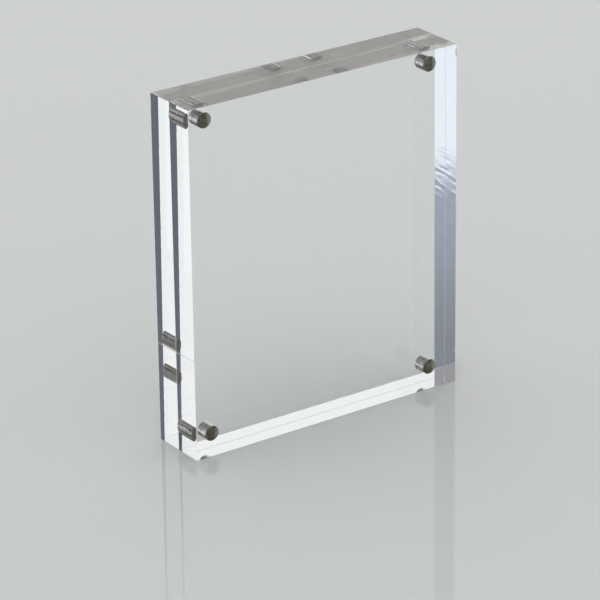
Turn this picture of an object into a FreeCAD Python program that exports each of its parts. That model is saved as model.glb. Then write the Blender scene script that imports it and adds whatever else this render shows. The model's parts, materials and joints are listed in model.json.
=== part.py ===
"""Magnetic acrylic block frame: two clear slabs that stand on their edge and clamp a picture between them.

Each slab carries four nickel-plated cylinder magnets in blind holes drilled from its mating face, near the
corners. The magnets of the two slabs attract each other in pairs and stand a hair proud of the polished faces,
so the slabs close on the magnets and leave a thin gap for the picture.

Frame of the part, in millimetres: +X to the viewer's right, +Y to the back, +Z up. The origin is at the middle
of the edge that the frame stands on, and the magnets of both slabs meet in the plane y = 0.
"""

import FreeCAD, Part
import Sketcher
import os

doc = FreeCAD.newDocument("acrylic_block_frame")

# Driving dimensions
SIZES = {
    # slabs
    "slab_width": 100.0,
    "slab_height": 114.0,
    "slab_thickness": 10.0,
    "slab_gap": 0.1,
    "edge_bevel": 0.05,
    # magnets
    "magnet_diameter": 5.0,
    "magnet_length": 4.0,
    "magnet_rim_radius": 0.2,
    # where each magnet's axis lies, measured from the slab's nearest edges
    "magnet_inset_side": 8.0,
    "magnet_inset_end": 5.8,
    # blind holes
    "hole_side_clearance": 0.06,
    "hole_floor_clearance": 0.1,
    "drill_point_degrees": 118.0,
}

sheet = doc.addObject("Spreadsheet::Sheet", "sizes")
for row, (alias, value) in enumerate(SIZES.items(), start=1):
    cell = "B%d" % row
    sheet.set("A%d" % row, alias)
    sheet.set(cell, str(value))
    sheet.setAlias(cell, alias)
doc.recompute()

# A quarter turn that stands a slab's drawing plane up, with its thickness running to the front
STAND_UP = FreeCAD.Rotation(FreeCAD.Vector(1, 0, 0), 90)
FACE_BACK = FreeCAD.Rotation(FreeCAD.Vector(0, 0, 1), 180).multiply(STAND_UP)
FACING = {"front": STAND_UP, "back": FACE_BACK}


def origin_plane(body, role):
    """The body's own origin plane with that role, such as XY_Plane."""
    for feature in body.Origin.OriginFeatures:
        if feature.Role == role:
            return feature
    raise ValueError("no origin plane " + role)


def sketch_on_base(body, name):
    """An empty sketch on the body's XY plane."""
    sketch = body.newObject("Sketcher::SketchObject", name)
    sketch.AttachmentSupport = [(origin_plane(body, "XY_Plane"), "")]
    sketch.MapMode = "FlatFace"
    return sketch


def drive(sketch, name, constraint, expression):
    """Adds a constraint under a name of its own and lets the sheet set its value."""
    index = sketch.addConstraint(constraint)
    sketch.renameConstraint(index, name)
    sketch.setExpression("Constraints." + name, expression)


def new_body(label):
    body = doc.addObject("PartDesign::Body", label)
    body.Label = label
    return body


def draw_slab_outline(sketch):
    """A rectangle that stands on the X axis and is centred on the Y axis."""
    half = SIZES["slab_width"] / 2
    top = SIZES["slab_height"]
    corners = [
        FreeCAD.Vector(-half, 0, 0),
        FreeCAD.Vector(half, 0, 0),
        FreeCAD.Vector(half, top, 0),
        FreeCAD.Vector(-half, top, 0),
    ]
    for start, end in zip(corners, corners[1:] + corners[:1]):
        sketch.addGeometry(Part.LineSegment(start, end), False)
    bottom, right, upper, left = range(len(corners))
    for line, following in ((bottom, right), (right, upper), (upper, left), (left, bottom)):
        sketch.addConstraint(Sketcher.Constraint("Coincident", line, 2, following, 1))
    sketch.addConstraint(Sketcher.Constraint("Horizontal", upper))
    for line in (right, left):
        sketch.addConstraint(Sketcher.Constraint("Vertical", line))
    sketch.addConstraint(Sketcher.Constraint("PointOnObject", bottom, 1, -1))
    sketch.addConstraint(Sketcher.Constraint("Symmetric", bottom, 1, bottom, 2, -2))
    width = Sketcher.Constraint("DistanceX", bottom, 1, bottom, 2, SIZES["slab_width"])
    height = Sketcher.Constraint("DistanceY", right, 1, right, 2, SIZES["slab_height"])
    drive(sketch, "width", width, "sizes.slab_width")
    drive(sketch, "height", height, "sizes.slab_height")


# The four corners of a slab in its drawing plane: the side of the upright axis, and the end of the slab
CORNERS = {
    "bottom_left": (-1, "bottom"),
    "bottom_right": (1, "bottom"),
    "top_left": (-1, "top"),
    "top_right": (1, "top"),
}

# The distances of a magnet's axis from the upright axis and from the foot, in the sheet's own sizes
ACROSS = "sizes.slab_width / 2 - sizes.magnet_inset_side"
UP = {"bottom": "sizes.magnet_inset_end", "top": "sizes.slab_height - sizes.magnet_inset_end"}
HOLE_RADIUS = "sizes.magnet_diameter / 2 + sizes.hole_side_clearance"


def magnet_place(side, end):
    """Where a magnet's axis crosses the slab's drawing plane."""
    across = SIZES["slab_width"] / 2 - SIZES["magnet_inset_side"]
    up = SIZES["magnet_inset_end"]
    if end == "top":
        up = SIZES["slab_height"] - up
    return FreeCAD.Vector(side * across, up, 0)


def draw_hole_centres(sketch):
    """One circle for each magnet: its centre is where the drill goes in."""
    radius = SIZES["magnet_diameter"] / 2 + SIZES["hole_side_clearance"]
    for corner, (side, end) in CORNERS.items():
        place = magnet_place(side, end)
        circle = sketch.addGeometry(Part.Circle(place, FreeCAD.Vector(0, 0, 1), radius), False)
        # the two points in the order that makes the distance between them positive
        across = (-1, 1, circle, 3) if side > 0 else (circle, 3, -1, 1)
        drive(sketch, corner + "_radius", Sketcher.Constraint("Radius", circle, radius), HOLE_RADIUS)
        drive(sketch, corner + "_across", Sketcher.Constraint("DistanceX", *across, abs(place.x)), ACROSS)
        drive(sketch, corner + "_up", Sketcher.Constraint("DistanceY", -1, 1, circle, 3, place.y), UP[end])


def make_slab(name):
    """A clear slab with bevelled edges and a blind hole for each of its magnets, drilled from the mating face."""
    body = new_body(name + "_block")
    outline = sketch_on_base(body, name + "_outline")
    draw_slab_outline(outline)
    pad = body.newObject("PartDesign::Pad", name + "_plate")
    pad.Profile = outline
    pad.setExpression("Length", "sizes.slab_thickness")
    doc.recompute()

    bevel = body.newObject("PartDesign::Chamfer", name + "_bevel")
    bevel.Base = (pad, ["Edge%d" % (i + 1) for i in range(len(pad.Shape.Edges))])
    bevel.setExpression("Size", "sizes.edge_bevel")
    doc.recompute()

    centres = sketch_on_base(body, name + "_hole_centres")
    draw_hole_centres(centres)
    doc.recompute()
    hole = body.newObject("PartDesign::Hole", name + "_magnet_holes")
    hole.Profile = centres
    doc.recompute()
    hole.Threaded = False
    hole.HoleCutType = "None"
    hole.DepthType = "Dimension"
    hole.DrillPoint = "Angled"
    hole.DrillForDepth = False
    hole.Reversed = True
    hole.setExpression("DrillPointAngle", "sizes.drill_point_degrees")
    hole.setExpression("Diameter", "sizes.magnet_diameter + 2 * sizes.hole_side_clearance")
    hole.setExpression("Depth", "sizes.magnet_length - sizes.slab_gap / 2 + sizes.hole_floor_clearance")
    body.Tip = hole
    doc.recompute()
    if hole.Shape.Volume >= bevel.Shape.Volume:
        raise RuntimeError(name + ": the drill went the wrong way")

    towards = FreeCAD.Vector(0, -1, 0) if name == "front" else FreeCAD.Vector(0, 1, 0)
    body.Placement = FreeCAD.Placement(towards * (SIZES["slab_gap"] / 2), FACING[name])
    return body


def make_magnet(name, corner):
    """A plated cylinder with rounded rims. Its flat end lies in the plane where the two slabs' magnets meet."""
    side, end = CORNERS[corner]
    body = new_body("magnet_%s_%s" % (name, corner))
    disc = sketch_on_base(body, body.Label + "_disc")
    diameter = SIZES["magnet_diameter"]
    disc.addGeometry(Part.Circle(FreeCAD.Vector(0, 0, 0), FreeCAD.Vector(0, 0, 1), diameter / 2), False)
    disc.addConstraint(Sketcher.Constraint("Coincident", 0, 3, -1, 1))
    drive(disc, "diameter", Sketcher.Constraint("Diameter", 0, diameter), "sizes.magnet_diameter")
    pad = body.newObject("PartDesign::Pad", body.Label + "_rod")
    pad.Profile = disc
    pad.setExpression("Length", "sizes.magnet_length")
    doc.recompute()
    rims = ["Edge%d" % (i + 1) for i, edge in enumerate(pad.Shape.Edges) if isinstance(edge.Curve, Part.Circle)]
    rim = body.newObject("PartDesign::Fillet", body.Label + "_rim")
    rim.Base = (pad, rims)
    rim.setExpression("Radius", "sizes.magnet_rim_radius")
    doc.recompute()

    # the back slab is turned about the upright axis, so its left is the other side of the drawing plane
    local_side = side if name == "front" else -side
    place = FACING[name].multVec(magnet_place(local_side, end))
    body.Placement = FreeCAD.Placement(place, FACING[name])
    return body


bodies = [make_slab("front"), make_slab("back")]
for slab in ("front", "back"):
    for corner in CORNERS:
        bodies.append(make_magnet(slab, corner))
doc.recompute()

for thing in doc.Objects:
    if "Invalid" in thing.State or "Error" in thing.State:
        raise RuntimeError("%s did not build: %s" % (thing.Label, thing.State))
for body in bodies:
    if body.Shape.isNull() or not body.Shape.isValid():
        raise RuntimeError(body.Label + " has no valid shape")

os.makedirs("parts", exist_ok=True)
for body in bodies:
    body.Shape.exportStep("parts/%s.step" % body.Label)
    box = body.Shape.BoundBox
    print(
        "%-28s volume %9.1f  x %6.2f..%6.2f  y %6.2f..%6.2f  z %6.2f..%6.2f"
        % (body.Label, body.Shape.Volume, box.XMin, box.XMax, box.YMin, box.YMax, box.ZMin, box.ZMax)
    )
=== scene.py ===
"""Looks of the magnetic acrylic block frame: clear polished slabs, plated magnets, a pale glossy table."""

import json
import math

import bmesh
import bpy
from mathutils import Matrix, Vector


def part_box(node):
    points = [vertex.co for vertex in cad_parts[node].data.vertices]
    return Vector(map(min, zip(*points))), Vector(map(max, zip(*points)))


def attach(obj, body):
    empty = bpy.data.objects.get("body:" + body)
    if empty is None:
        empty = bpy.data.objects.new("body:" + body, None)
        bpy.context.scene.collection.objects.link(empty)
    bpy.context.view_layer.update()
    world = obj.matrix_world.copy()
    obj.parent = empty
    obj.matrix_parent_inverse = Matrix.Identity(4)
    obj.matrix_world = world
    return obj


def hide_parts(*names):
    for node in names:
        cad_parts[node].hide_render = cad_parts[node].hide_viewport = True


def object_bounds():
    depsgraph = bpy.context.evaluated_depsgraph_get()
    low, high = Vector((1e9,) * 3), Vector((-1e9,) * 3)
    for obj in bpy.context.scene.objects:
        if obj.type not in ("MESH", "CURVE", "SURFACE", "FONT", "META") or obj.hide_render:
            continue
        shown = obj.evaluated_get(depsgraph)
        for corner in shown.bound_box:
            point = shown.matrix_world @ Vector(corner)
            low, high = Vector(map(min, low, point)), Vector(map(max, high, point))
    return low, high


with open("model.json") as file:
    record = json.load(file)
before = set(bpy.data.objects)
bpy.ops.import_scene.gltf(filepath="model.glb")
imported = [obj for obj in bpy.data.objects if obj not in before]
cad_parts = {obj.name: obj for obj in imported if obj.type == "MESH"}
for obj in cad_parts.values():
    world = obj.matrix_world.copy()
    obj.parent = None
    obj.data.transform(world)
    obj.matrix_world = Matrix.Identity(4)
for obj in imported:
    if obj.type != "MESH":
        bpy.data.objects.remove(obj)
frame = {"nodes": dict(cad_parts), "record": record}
cad_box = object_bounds()

MM = 0.001

# Camera, found by fitting the corners of the part to the photograph
CAMERA_AZIMUTH = 35.122  # degrees that the view turns from +Y towards +X
CAMERA_ELEVATION = 22.912
CAMERA_ROLL = -0.797
CAMERA_AIM = Vector((-6.37, -4.08, 40.43)) * MM
CAMERA_DISTANCE = 1092.15 * MM
CAMERA_LENS = 211.35
CAMERA_SENSOR = 36.0
CAMERA_NEAR = 0.05
CAMERA_FAR = 20.0

# Slabs: a bevel finer than the CAD part's 0.05 mm, because the clear edges mirror it again and again as
# lines, and how far a hole's wall reaches into the magnet that is glued in it
EDGE_BEVEL = 0.02 * MM
GLUE_GRIP = 0.03 * MM
MAGNET_RIM = 0.2 * MM
HOLE_SIDES = 96
RIM_STEPS = 4

# Acrylic: an index a little over the usual 1.49, which brings the dark strips at the slabs' edges nearer to
# the photograph
ACRYLIC_IOR = 1.505
ACRYLIC_TINT = (0.995, 1.0, 1.0, 1.0)

# Faint waves that the cutter left on the slabs' edges. They lie across the thickness and come in patches.
EDGE_NORMAL_Y = 0.3  # faces whose normal has less of Y than this are edges
WAVE_SCALE = 420.0
WAVE_STRETCH = (1.0, 0.12, 1.0)
WAVE_WOBBLE = 0.6
WAVE_STRENGTH = 0.02
WAVE_HEIGHT = 1.0 * MM
WAVE_DETAIL = 1.0
PATCH_SCALE = 55.0
PATCH_BORDER = (0.42, 0.62)
PATCH_CALM = 0.15

# Nickel plate: bright sides with lengthwise grain
END_NORMAL_Y = 0.9  # faces whose normal has more of Y than this are a magnet's ends
GRAIN_SCALE = 2600.0
GRAIN_STRETCH = (1.0, 0.15, 1.0)
GRAIN_STRENGTH = 0.12
GRAIN_HEIGHT = 0.05 * MM
GRAIN_BORDER = (0.3, 0.7)
CLOUD_SCALE = 620.0
CLOUD_WOBBLE = 0.4
PLATE_DETAIL = 3.0
PLATE_DULL = (0.42, 0.41, 0.39, 1.0)
PLATE_BRIGHT = (0.74, 0.72, 0.68, 1.0)
PLATE_BORDER = (0.30, 0.60)
PLATE_SMOOTHEST = 0.10
PLATE_ROUGHEST = 0.22
END_EXTRA_ROUGHNESS = 0.16

# A darker, browner colour in clouds on a magnet's ends, and a lighter, greyer crescent whose start and end
# are measured from the axis
END_DARK_TONE = (0.10, 0.088, 0.055, 1.0)
END_PALE_TONE = (0.20, 0.175, 0.12, 1.0)
END_TONE_BORDER = (0.40, 0.66)
CRESCENT_COLOUR = (0.34, 0.33, 0.29, 1.0)
CRESCENT_START = 1.2 * MM
CRESCENT_END = 1.8 * MM
CRESCENT_WOBBLE = 0.8 * MM

# Table
FLOOR_HALF = 3.0
FLOOR_DROP = 0.05 * MM
FLOOR_MARGIN = 0.5 * MM
FLOOR_COLOUR = (0.583, 0.6085, 0.598, 1.0)
FLOOR_UNDER_COLOUR = (0.64, 0.605, 0.52, 1.0)
FLOOR_ROUGHNESS = 0.03
FLOOR_IOR = 1.45

# A ray has made more bounces of a kind than this after one of them, and after running along inside a slab
ONCE = 0.5
TURNED = 2.5

# Studio: soft cards round the table. The low ones lie below its level, where only mirrored rays reach them.
LOW_RIGHT = (0.90, 0.94, 0.935, 1.0)
LOW_MIDDLE = (0.85, 0.86, 0.86, 1.0)
LOW_LEFT_BRIGHT = (0.87, 0.93, 1.03, 1.0)
LOW_LEFT_DIM = (0.30, 0.335, 0.415, 1.0)
LOW_LEFT_DIMMEST = (0.20, 0.22, 0.26, 1.0)
LOW_FRONT = (0.055, 0.07, 0.105, 1.0)
LOW_BOTTOM = (0.10, 0.10, 0.10, 1.0)
HIGH_RIGHT = (0.92, 0.93, 0.93, 1.0)
HIGH_LEFT = (0.34, 0.335, 0.36, 1.0)
HIGH_FRONT = (0.60, 0.61, 0.61, 1.0)
CEILING = (0.22, 0.22, 0.22, 1.0)
LAMP = (1.6, 1.6, 1.6, 1.0)
DULL_LIGHT = (1.0, 1.0, 1.0, 1.0)
BEHIND_TABLE = (0.64, 0.665, 0.655, 1.0)

# Where those cards meet. A border is a pair: how much a ray points that way at its start and at its end.
LEVEL_BORDER = (-0.02, 0.02)
SIDE_BORDER = (0.05, -0.05)
LEFT_ACROSS = (1.0, 0.735, 0.0)
LEFT_BORDER = (0.02, -0.02)
DIM_BORDER = (-0.400, -0.364)
BRIGHT_BORDER = (-0.364, -0.348)
BOTTOM_BORDER = (-0.45, -0.50)
CEILING_BORDER = (0.46, 0.54)
LAMP_TOWARDS = (-0.35, -0.45, 0.82)
LAMP_BORDER = (0.93, 0.96)

# Bounces: light runs far along the inside of a slab
CLEAR_BOUNCES = 48
DULL_BOUNCES = 4
PASSED_BOUNCES = 16


class Nodes:
    """A node tree that is written left to right, with short calls."""

    def __init__(self, tree):
        self.tree = tree
        tree.nodes.clear()

    def add(self, kind, **settings):
        node = self.tree.nodes.new(kind)
        for name, value in settings.items():
            setattr(node, name, value)
        return node

    def put(self, socket, value):
        """Links a socket to another's output, or sets a plain value on it."""
        if isinstance(value, bpy.types.NodeSocket):
            self.tree.links.new(value, socket)
        else:
            socket.default_value = value

    def math(self, operation, *values):
        node = self.add("ShaderNodeMath", operation=operation)
        for socket, value in zip(node.inputs, values):
            self.put(socket, value)
        return node.outputs[0]

    def step(self, value, start, end, low=0.0, high=1.0):
        """A smooth step of value from low at start to high at end."""
        node = self.add("ShaderNodeMapRange", interpolation_type="SMOOTHSTEP")
        for socket, item in zip(node.inputs, (value, start, end, low, high)):
            self.put(socket, item)
        return node.outputs[0]

    def mix(self, share, first, second):
        """A mix of two colours."""
        node = self.add("ShaderNodeMix", data_type="RGBA")
        self.put(node.inputs["Factor"], share)
        self.put([s for s in node.inputs if s.name == "A" and s.type == "RGBA"][0], first)
        self.put([s for s in node.inputs if s.name == "B" and s.type == "RGBA"][0], second)
        return [s for s in node.outputs if s.type == "RGBA"][0]

    def split(self, vector):
        """The X, Y and Z of a vector."""
        node = self.add("ShaderNodeSeparateXYZ")
        self.put(node.inputs[0], vector)
        return node.outputs

    def along(self, vector, direction):
        """How much a vector points in a direction."""
        node = self.add("ShaderNodeVectorMath", operation="DOT_PRODUCT")
        self.put(node.inputs[0], vector)
        self.put(node.inputs[1], direction)
        return node.outputs["Value"]

    def stretched(self, vector, scale):
        """A vector whose X, Y and Z are scaled each by their own number."""
        node = self.add("ShaderNodeMapping")
        self.put(node.inputs["Vector"], vector)
        self.put(node.inputs["Scale"], scale)
        return node.outputs[0]

    def noise(self, vector, scale, detail, distortion=0.0):
        node = self.add("ShaderNodeTexNoise")
        values = {"Vector": vector, "Scale": scale, "Detail": detail, "Distortion": distortion}
        for name, value in values.items():
            self.put(node.inputs[name], value)
        return node.outputs["Fac"]

    def bump(self, height, strength, distance):
        node = self.add("ShaderNodeBump")
        for name, value in {"Height": height, "Strength": strength, "Distance": distance}.items():
            self.put(node.inputs[name], value)
        return node.outputs[0]


def new_material(name):
    material = bpy.data.materials.new(name)
    material.use_nodes = True
    return material, Nodes(material.node_tree)


def acrylic():
    """Clear cast acrylic: optically clean faces, and sawn edges whose polish keeps faint cutter waves."""
    material, n = new_material("clear_acrylic_polished")
    shader = n.add("ShaderNodeBsdfPrincipled")
    n.put(shader.inputs["Base Color"], ACRYLIC_TINT)
    n.put(shader.inputs["Roughness"], 0.0)
    n.put(shader.inputs["IOR"], ACRYLIC_IOR)
    n.put(shader.inputs["Transmission Weight"], 1.0)
    place = n.add("ShaderNodeTexCoord")
    normal_y = n.split(place.outputs["Normal"])["Y"]
    edge = n.math("LESS_THAN", n.math("ABSOLUTE", normal_y), EDGE_NORMAL_Y)
    along = n.stretched(place.outputs["Object"], WAVE_STRETCH)
    waves = n.noise(along, WAVE_SCALE, WAVE_DETAIL, WAVE_WOBBLE)
    spread = n.noise(place.outputs["Object"], PATCH_SCALE, WAVE_DETAIL)
    patches = n.step(spread, *PATCH_BORDER, PATCH_CALM)
    strength = n.math("MULTIPLY", n.math("MULTIPLY", edge, patches), WAVE_STRENGTH)
    n.put(shader.inputs["Normal"], n.bump(waves, strength, WAVE_HEIGHT))
    out = n.add("ShaderNodeOutputMaterial")
    n.put(out.inputs["Surface"], shader.outputs[0])
    return material


def magnet_across():
    """How far every magnet's axis lies from the upright middle plane."""
    low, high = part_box("magnet_front_top_right")
    return (low[0] + high[0]) / 2


def nickel():
    """Nickel plate: bright sides with lengthwise grain, and ends that are rougher, darker and browner."""
    material, n = new_material("nickel_plate")
    place = n.add("ShaderNodeTexCoord")
    at = place.outputs["Object"]
    normal_y = n.split(place.outputs["Normal"])["Y"]
    end = n.math("GREATER_THAN", n.math("ABSOLUTE", normal_y), END_NORMAL_Y)
    grain = n.noise(n.stretched(at, GRAIN_STRETCH), GRAIN_SCALE, PLATE_DETAIL)
    clouds = n.noise(at, CLOUD_SCALE, PLATE_DETAIL, CLOUD_WOBBLE)
    side = n.mix(n.step(clouds, *PLATE_BORDER), PLATE_DULL, PLATE_BRIGHT)
    end_tone = n.mix(n.step(clouds, *END_TONE_BORDER), END_DARK_TONE, END_PALE_TONE)
    # a lighter, greyer crescent on each end, on the side of +X
    x = n.split(at)["X"]
    off_axis = n.math("SUBTRACT", x, n.math("MULTIPLY", n.math("SIGN", x), magnet_across()))
    wavy = n.math("ADD", off_axis, n.math("MULTIPLY", clouds, CRESCENT_WOBBLE))
    end_tone = n.mix(n.step(wavy, CRESCENT_START, CRESCENT_END), end_tone, CRESCENT_COLOUR)
    shader = n.add("ShaderNodeBsdfPrincipled")
    n.put(shader.inputs["Base Color"], n.mix(end, side, end_tone))
    n.put(shader.inputs["Metallic"], 1.0)
    rough = n.step(grain, *GRAIN_BORDER, PLATE_SMOOTHEST, PLATE_ROUGHEST)
    rough = n.math("ADD", rough, n.math("MULTIPLY", end, END_EXTRA_ROUGHNESS))
    n.put(shader.inputs["Roughness"], rough)
    n.put(shader.inputs["Normal"], n.bump(grain, GRAIN_STRENGTH, GRAIN_HEIGHT))
    out = n.add("ShaderNodeOutputMaterial")
    n.put(out.inputs["Surface"], shader.outputs[0])
    return material


def ring(bm, centre, radius, y):
    """The corners of a many-sided ring round a magnet's axis, at that y."""
    turns = [2 * math.pi * step / HOLE_SIDES for step in range(HOLE_SIDES)]
    return [
        bm.verts.new((centre.x + radius * math.cos(turn), y, centre.z + radius * math.sin(turn)))
        for turn in turns
    ]


def loop_edges(bm, corners):
    """The closed run of edges through those corners."""
    return [bm.edges.new((first, second)) for first, second in zip(corners, corners[1:] + corners[:1])]


def glued_hole(bm, magnet, mating_y):
    """A blind hole that grips its magnet all round, as the clear glue does. Gives the edges of its mouth."""
    low, high = (Vector(corner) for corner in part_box(magnet))
    centre = (low + high) / 2
    radius = (high.x - low.x) / 2 - GLUE_GRIP
    deep = low.y if abs(low.y) > abs(high.y) else high.y
    inwards = math.copysign(1.0, deep)
    floor_y = deep - inwards * GLUE_GRIP
    rings = [ring(bm, centre, radius, mating_y)]
    mouth = loop_edges(bm, rings[0])
    rings.append(ring(bm, centre, radius, floor_y - inwards * MAGNET_RIM))
    for step in range(1, RIM_STEPS + 1):
        angle = math.radians(90 * step / RIM_STEPS)
        rim_radius = radius - MAGNET_RIM * (1 - math.cos(angle))
        rim_y = floor_y - inwards * MAGNET_RIM * (1 - math.sin(angle))
        rings.append(ring(bm, centre, rim_radius, rim_y))
    for near, far in zip(rings, rings[1:]):
        for i in range(HOLE_SIDES):
            j = (i + 1) % HOLE_SIDES
            bm.faces.new((near[i], near[j], far[j], far[i]))
    bm.faces.new(rings[-1])
    return mouth


def bevelled_box(low, high):
    """A box between two corners, with every edge bevelled."""
    bm = bmesh.new()
    bmesh.ops.create_cube(bm, size=1.0)
    for vert in bm.verts:
        vert.co = Vector((low[i] + high[i]) / 2 + vert.co[i] * (high[i] - low[i]) for i in range(3))
    bmesh.ops.bevel(bm, geom=bm.edges[:], offset=EDGE_BEVEL, segments=1, affect="EDGES")
    return bm


def slab(node, body):
    """The clear slab as it looks with its magnets glued in: no air is left between them and the acrylic."""
    low, high = (Vector(corner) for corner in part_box(node))
    bm = bevelled_box(low, high)
    mating_y = low.y if abs(low.y) < abs(high.y) else high.y
    mating = max(
        (face for face in bm.faces if abs(face.calc_center_median().y - mating_y) < EDGE_BEVEL / 10),
        key=lambda face: face.calc_area(),
    )
    rim = mating.edges[:]
    bmesh.ops.delete(bm, geom=[mating], context="FACES_ONLY")
    magnets = [name for name in frame["nodes"] if name.startswith("magnet_" + node.split("_")[0])]
    mouths = [edge for magnet in magnets for edge in glued_hole(bm, magnet, mating_y)]
    bmesh.ops.triangle_fill(bm, edges=rim + mouths, use_beauty=True)
    bmesh.ops.recalc_face_normals(bm, faces=bm.faces[:])
    mesh = bpy.data.meshes.new(node + "_clear")
    bm.to_mesh(mesh)
    bm.free()
    piece = bpy.data.objects.new(node + "_clear", mesh)
    bpy.context.scene.collection.objects.link(piece)
    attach(piece, body)
    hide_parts(node)
    return piece


def dress():
    """Gives the slabs and every magnet their material."""
    clear, plate = acrylic(), nickel()
    for node, body in (("front_block", "front_half"), ("back_block", "back_half")):
        slab(node, body).data.materials.append(clear)
    for name, node in frame["nodes"].items():
        node.data.materials.clear()
        node.data.materials.append(plate if name.startswith("magnet") else clear)


def between(n, value, low, high):
    """1 where a value lies between two others, and 0 elsewhere."""
    return n.math("MULTIPLY", n.math("GREATER_THAN", value, low), n.math("LESS_THAN", value, high))


def floor_material():
    """The glossy table.

    Mirrored rays look past it, into the studio: those that land behind the frame, and those that have run
    along inside a slab, unless they land under it.
    """
    low, high = cad_box
    reach = max(joint["range_m"][1] for joint in frame["record"]["behaviour"]["joints"])
    material, n = new_material("floor_pale")
    mirrorings = n.add("ShaderNodeLightPath").outputs["Glossy Depth"]
    at = n.split(n.add("ShaderNodeTexCoord").outputs["Object"])
    under = n.math(
        "MULTIPLY",
        between(n, at["X"], low[0] - FLOOR_MARGIN, high[0] + FLOOR_MARGIN),
        between(n, at["Y"], low[1] - reach - FLOOR_MARGIN, high[1] + FLOOR_MARGIN),
    )
    turned = n.math("GREATER_THAN", mirrorings, TURNED)
    shader = n.add("ShaderNodeBsdfPrincipled")
    # only light that ran down inside a slab sees the shaded, warmer strip of table under it, which reaches as
    # far forward as the front slab can be pulled
    shade = n.math("MULTIPLY", under, turned)
    n.put(shader.inputs["Base Color"], n.mix(shade, FLOOR_COLOUR, FLOOR_UNDER_COLOUR))
    n.put(shader.inputs["Roughness"], FLOOR_ROUGHNESS)
    n.put(shader.inputs["IOR"], FLOOR_IOR)
    once = n.math(
        "MULTIPLY",
        n.math("GREATER_THAN", mirrorings, ONCE),
        n.math("GREATER_THAN", at["Y"], high[1] + FLOOR_MARGIN),
    )
    often = n.math("MULTIPLY", turned, n.math("SUBTRACT", 1.0, under))
    clear = n.add("ShaderNodeBsdfTransparent")
    both = n.add("ShaderNodeMixShader")
    n.put(both.inputs[0], n.math("MAXIMUM", once, often))
    n.put(both.inputs[1], shader.outputs[0])
    n.put(both.inputs[2], clear.outputs[0])
    out = n.add("ShaderNodeOutputMaterial")
    n.put(out.inputs["Surface"], both.outputs[0])
    return material


def stage_floor():
    """A pale table top, a hair below the frame's foot."""
    mesh = bpy.data.meshes.new("floor")
    s = FLOOR_HALF
    mesh.from_pydata([(-s, -s, 0), (s, -s, 0), (s, s, 0), (-s, s, 0)], [], [(0, 1, 2, 3)])
    floor = bpy.data.objects.new("floor", mesh)
    bpy.context.scene.collection.objects.link(floor)
    floor.location.z = -FLOOR_DROP
    mesh.materials.append(floor_material())


def low_cards(n, towards):
    """What lies below the table's level, to the back right, the back left, the front and straight down."""
    x, y, z = n.split(towards)
    dim = n.mix(n.step(z, *DIM_BORDER), LOW_LEFT_DIMMEST, LOW_LEFT_DIM)
    lit = n.mix(n.step(z, *BRIGHT_BORDER), dim, LOW_LEFT_BRIGHT)
    left = n.mix(n.step(n.along(towards, LEFT_ACROSS), *LEFT_BORDER), LOW_MIDDLE, lit)
    back = n.mix(n.step(x, *SIDE_BORDER), LOW_RIGHT, left)
    cards = n.mix(n.step(y, *SIDE_BORDER), back, LOW_FRONT)
    return n.mix(n.step(z, *BOTTOM_BORDER), cards, LOW_BOTTOM)


def high_cards(n, towards, turned):
    """What lies above it: a pale card behind, a grey wall to the left, a dim ceiling with one soft lamp."""
    x, y, z = n.split(towards)
    back = n.mix(n.step(x, *SIDE_BORDER), HIGH_RIGHT, HIGH_LEFT)
    front = n.mix(turned, HIGH_FRONT, LOW_FRONT)
    cards = n.mix(n.step(y, *SIDE_BORDER), back, front)
    cards = n.mix(n.step(z, *CEILING_BORDER), cards, CEILING)
    return n.mix(n.step(n.along(towards, LAMP_TOWARDS), *LAMP_BORDER), cards, LAMP)


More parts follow.
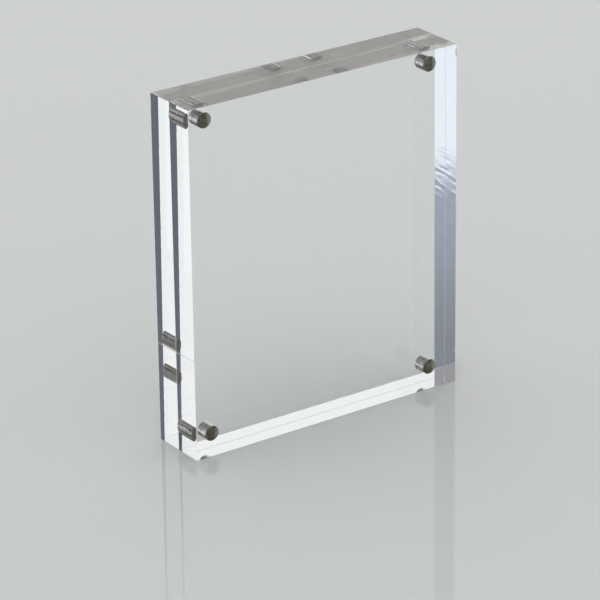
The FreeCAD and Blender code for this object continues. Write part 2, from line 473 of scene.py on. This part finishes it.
def studio_world():
    """Plain light on the object, and soft cards round the table for what its faces mirror."""
    world = bpy.data.worlds.new("studio")
    bpy.context.scene.world = world
    world.use_nodes = True
    n = Nodes(world.node_tree)
    path = n.add("ShaderNodeLightPath")
    towards = n.add("ShaderNodeTexCoord").outputs["Generated"]
    turned = n.math("GREATER_THAN", path.outputs["Glossy Depth"], TURNED)
    level = n.step(n.split(towards)["Z"], *LEVEL_BORDER)
    seen = n.mix(level, low_cards(n, towards), high_cards(n, towards, turned))
    # what lights dull surfaces, and what stands behind the table's far edge
    dull = n.math("GREATER_THAN", path.outputs["Diffuse Depth"], ONCE)
    seen = n.mix(dull, seen, DULL_LIGHT)
    seen = n.mix(path.outputs["Is Camera Ray"], seen, BEHIND_TABLE)
    background = n.add("ShaderNodeBackground")
    n.put(background.inputs["Color"], seen)
    n.put(background.inputs["Strength"], 1.0)
    out = n.add("ShaderNodeOutputWorld")
    n.put(out.inputs["Surface"], background.outputs[0])


def camera():
    """The photograph's view."""
    data = bpy.data.cameras.new("camera")
    data.lens = CAMERA_LENS
    data.sensor_width = CAMERA_SENSOR
    data.clip_start = CAMERA_NEAR
    data.clip_end = CAMERA_FAR
    azimuth, elevation = math.radians(CAMERA_AZIMUTH), math.radians(CAMERA_ELEVATION)
    ahead = Vector((
        math.sin(azimuth) * math.cos(elevation),
        math.cos(azimuth) * math.cos(elevation),
        -math.sin(elevation),
    ))
    thing = bpy.data.objects.new("camera", data)
    bpy.context.scene.collection.objects.link(thing)
    turn = ahead.to_track_quat("-Z", "Y").to_matrix() @ Matrix.Rotation(math.radians(CAMERA_ROLL), 3, "Z")
    thing.matrix_world = Matrix.Translation(CAMERA_AIM - ahead * CAMERA_DISTANCE) @ turn.to_4x4()
    bpy.context.scene.camera = thing


def light_paths():
    """Enough bounces for the clear slabs, and what guides the denoiser."""
    cycles = bpy.context.scene.cycles
    cycles.max_bounces = CLEAR_BOUNCES
    cycles.glossy_bounces = CLEAR_BOUNCES
    cycles.transmission_bounces = CLEAR_BOUNCES
    cycles.diffuse_bounces = DULL_BOUNCES
    cycles.transparent_max_bounces = PASSED_BOUNCES
    cycles.caustics_reflective = True
    cycles.caustics_refractive = True
    cycles.use_denoising = True
    # without the albedo the seam between the slabs can get lost, and with the normals the edges get speckled
    cycles.denoising_input_passes = "RGB_ALBEDO"


dress()
stage_floor()
studio_world()
camera()
light_paths()
bpy.context.scene.view_settings.view_transform = "Standard"
